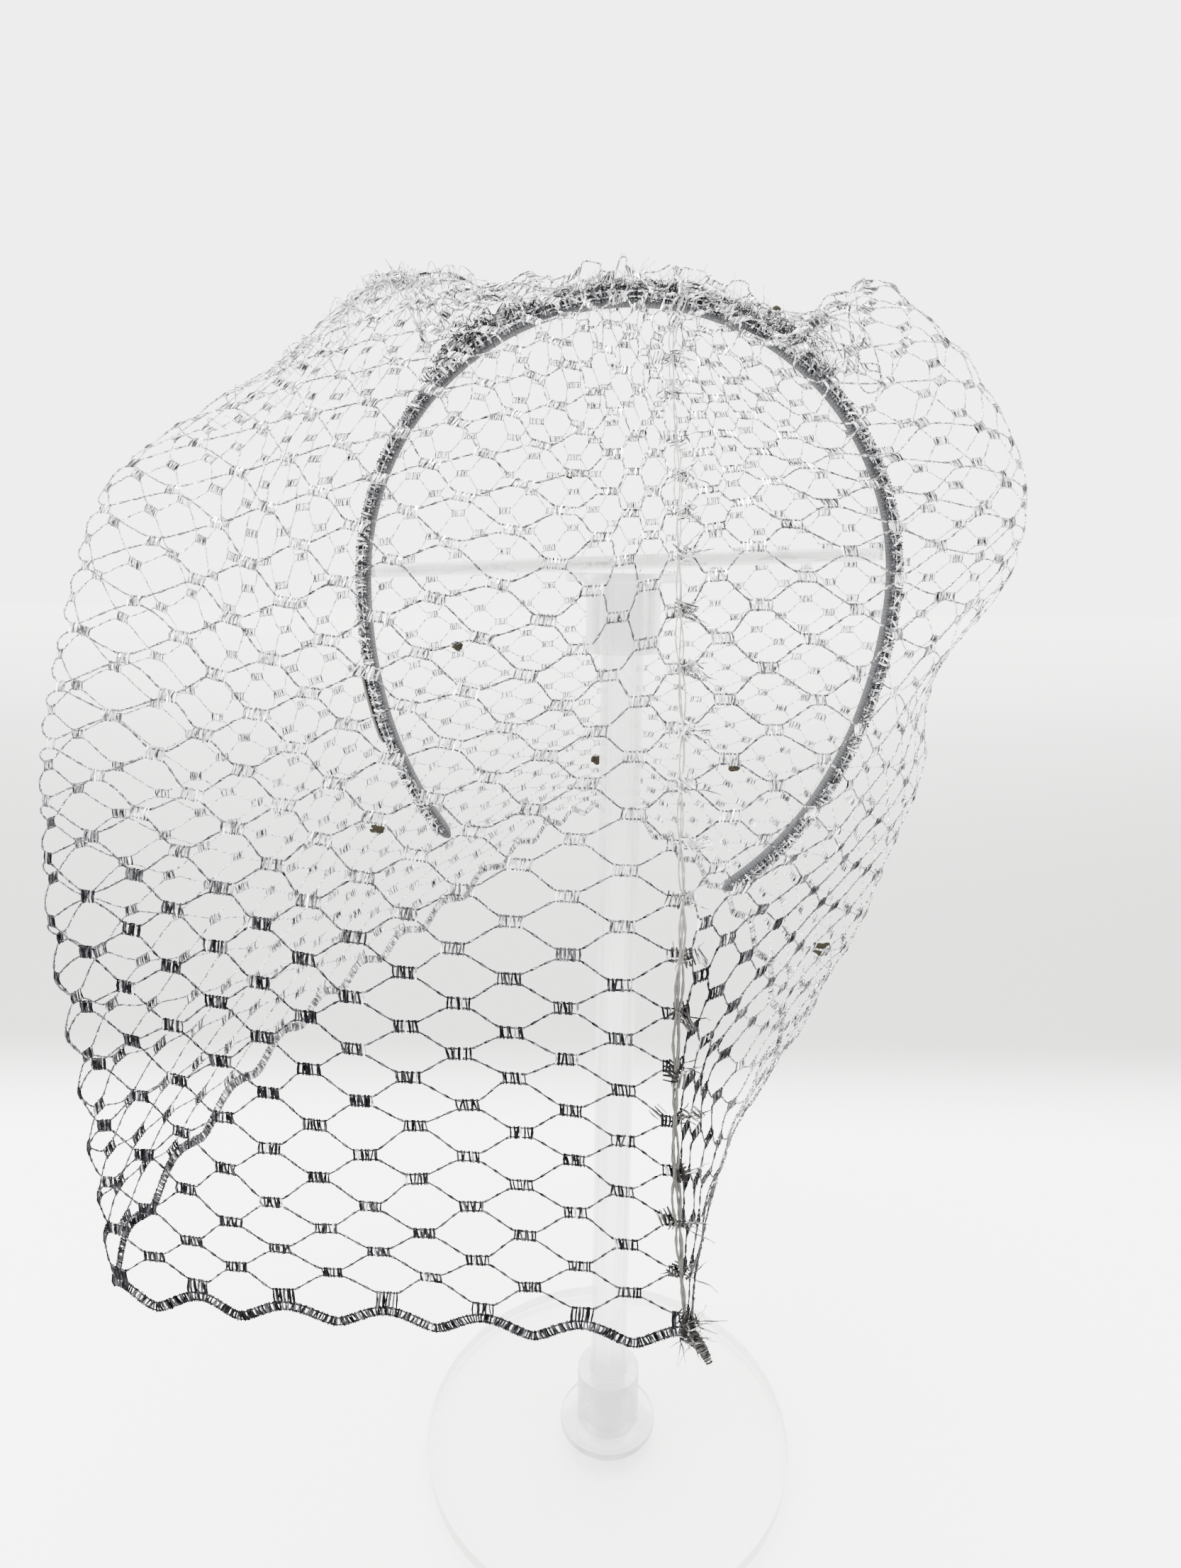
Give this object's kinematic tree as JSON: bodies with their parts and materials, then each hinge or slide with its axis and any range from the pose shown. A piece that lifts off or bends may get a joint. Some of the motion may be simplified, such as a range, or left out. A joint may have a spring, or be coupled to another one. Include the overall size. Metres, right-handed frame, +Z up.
{
  "type": "veil headdress on a clear display stand",
  "caption": "Coarse silver net veil, seamed in front and sewn to a ribbon-wrapped headband, held on the disc of a clear display stand.",
  "frame": {"origin": "centre of the underside of the stand's base", "axes": "+Z up, -Y towards the veil's front seam, +X to the viewer's right"},
  "size_m": [0.2392, 0.2332, 0.3519],
  "materials": {
    "clear_acrylic": "clear polished acrylic with soft edges",
    "grey_ribbon": "mid grey ribbon wound over the band, fine cross ribs, slightly fuzzy edges",
    "dark_core": "dark brown glossy plastic",
    "silver_net": "silver metallic two-ply yarn, sparkling",
    "sewing_thread": "plain grey sewing thread, frayed cut ends"
  },
  "bodies": {
    "root": {"stand_base": "clear_acrylic", "foot_fitting": "clear_acrylic", "post": "clear_acrylic", "top_fitting": "clear_acrylic", "top_disc": "clear_acrylic", "headband": "grey_ribbon", "band_core": "dark_core", "band_selvedge": "silver_net", "gathered_edge": "silver_net", "veil_net": "silver_net", "hem": "silver_net", "seam_thread": "sewing_thread", "seam_knot": "silver_net"}
  },
  "joints": []
}
